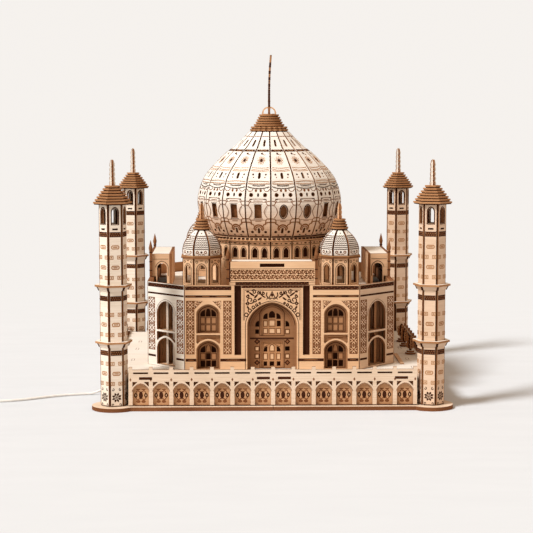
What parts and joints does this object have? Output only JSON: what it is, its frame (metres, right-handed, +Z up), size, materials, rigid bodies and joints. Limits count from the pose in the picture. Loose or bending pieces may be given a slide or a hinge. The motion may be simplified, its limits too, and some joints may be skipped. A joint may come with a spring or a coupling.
{
  "type": "miniature landmark model",
  "caption": "Laser-cut plywood souvenir model of a domed mausoleum with corner towers on a walled terrace, lit by a small USB lamp inside.",
  "frame": {"origin": "centre of the square base plates' underside, without the free cable", "axes": "+Z up; the front, with the cable to its left, faces -Y; +X to the right"},
  "size_m": [0.4086, 0.274, 0.27],
  "materials": {
    "ply_outer": "bare light plywood, laser engraved, satin",
    "ply_light": "bare pale plywood, laser engraved, satin",
    "ply_inner": "laser-toned brown plywood, matt",
    "lamp": "frosted white diffuser",
    "cable": "soft white PVC",
    "plug": "white grip with a bright metal shell"
  },
  "bodies": {
    "root": {"base_plate_left": "ply_outer", "base_plate_right": "ply_outer", "cable_coil": "cable", "cable_lead": "cable", "chhatri_back_left_dome": "ply_outer", "chhatri_back_left_kiosk": "ply_outer", "chhatri_back_right_dome": "ply_outer", "chhatri_back_right_kiosk": "ply_outer", "chhatri_front_left_dome": "ply_outer", "chhatri_front_left_kiosk": "ply_outer", "chhatri_front_right_dome": "ply_outer", "chhatri_front_right_kiosk": "ply_outer", "corner_wall_back_left": "ply_outer", "corner_wall_back_right": "ply_outer", "corner_wall_front_left": "ply_outer", "corner_wall_front_right": "ply_outer", "dome_crown": "ply_outer", "drum": "ply_outer", "facade_back": "ply_outer", "facade_front": "ply_outer", "facade_left": "ply_outer", "facade_right": "ply_outer", "lamp_lead": "cable", "led_lamp": "lamp", "main_dome": "ply_light", "minaret_back_left_lower_balcony": "ply_light", "minaret_back_left_roof": "ply_outer", "minaret_back_left_shaft": "ply_outer", "minaret_back_left_upper_balcony": "ply_light", "minaret_back_right_lower_balcony": "ply_light", "minaret_back_right_roof": "ply_outer", "minaret_back_right_shaft": "ply_outer", "minaret_back_right_upper_balcony": "ply_light", "minaret_front_left_lower_balcony": "ply_light", "minaret_front_left_roof": "ply_outer", "minaret_front_left_shaft": "ply_outer", "minaret_front_left_upper_balcony": "ply_light", "minaret_front_right_lower_balcony": "ply_light", "minaret_front_right_roof": "ply_outer", "minaret_front_right_shaft": "ply_outer", "minaret_front_right_upper_balcony": "ply_light", "portal_attic_back": "ply_outer", "portal_attic_front": "ply_outer", "portal_attic_left": "ply_outer", "portal_attic_right": "ply_outer", "portal_screen_back": "ply_inner", "portal_screen_front": "ply_inner", "portal_screen_left": "ply_inner", "portal_screen_right": "ply_inner", "roof_deck": "ply_light", "spire": "ply_outer", "terrace_deck_back": "ply_light", "terrace_deck_front": "ply_light", "terrace_wall_back": "ply_light", "terrace_wall_front": "ply_light", "terrace_wall_left": "ply_light", "terrace_wall_right": "ply_light", "tree_front": "ply_inner", "tree_middle": "ply_inner", "usb_plug": "plug"}
  },
  "joints": []
}
